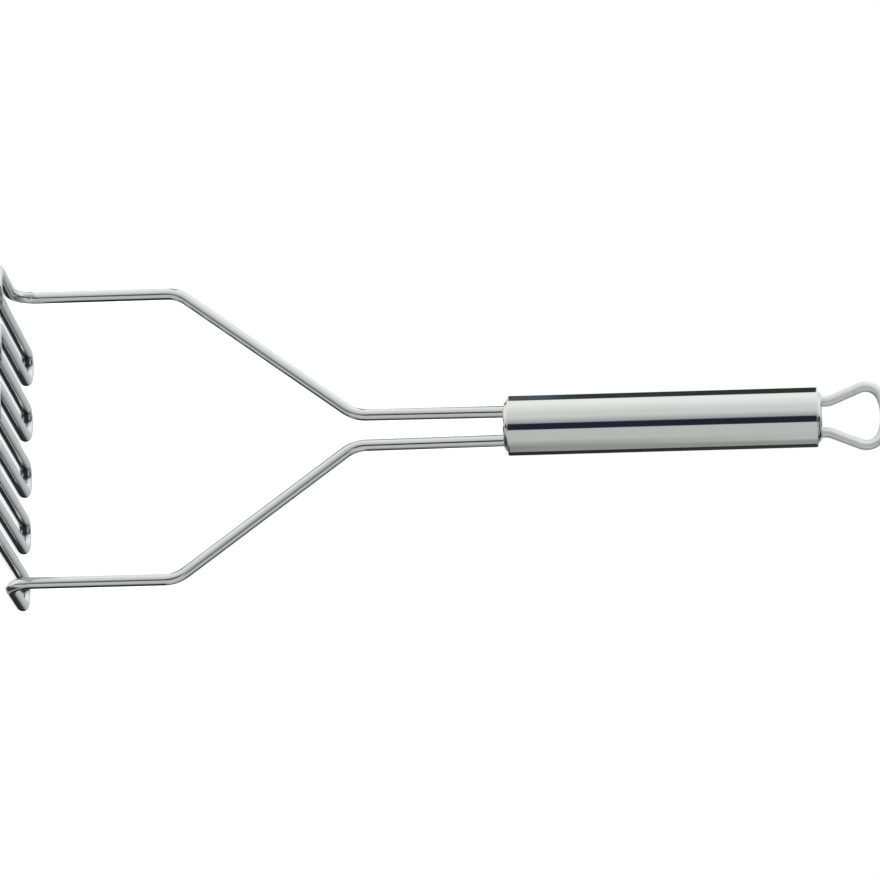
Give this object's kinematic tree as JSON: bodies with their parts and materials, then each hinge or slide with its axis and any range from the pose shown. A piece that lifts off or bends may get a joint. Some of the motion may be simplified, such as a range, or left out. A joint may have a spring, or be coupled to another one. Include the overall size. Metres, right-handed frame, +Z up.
{
  "type": "potato masher",
  "caption": "Wire potato masher: a zigzag grid of round wire on its arms, with a polished tube handle and a hanging loop.",
  "frame": {"origin": "centre of the rung grid at the level of the surface it stands on, on the handle's axis", "axes": "+Z up along the handle's axis, X across the rungs from one arm to the other, Y along the rungs"},
  "size_m": [0.104, 0.074, 0.2979],
  "materials": {
    "polished_tube": "mirror polished stainless steel",
    "drawn_wire": "bright drawn stainless wire with fine lines along it",
    "weld_metal": "matt weld metal"
  },
  "bodies": {
    "root": {"masher_wire": "drawn_wire", "handle_tube": "polished_tube", "front_cap": "polished_tube", "rear_cap": "polished_tube", "hanging_loop": "drawn_wire", "arm_weld_beads": "weld_metal", "loop_weld_beads": "weld_metal"}
  },
  "joints": []
}
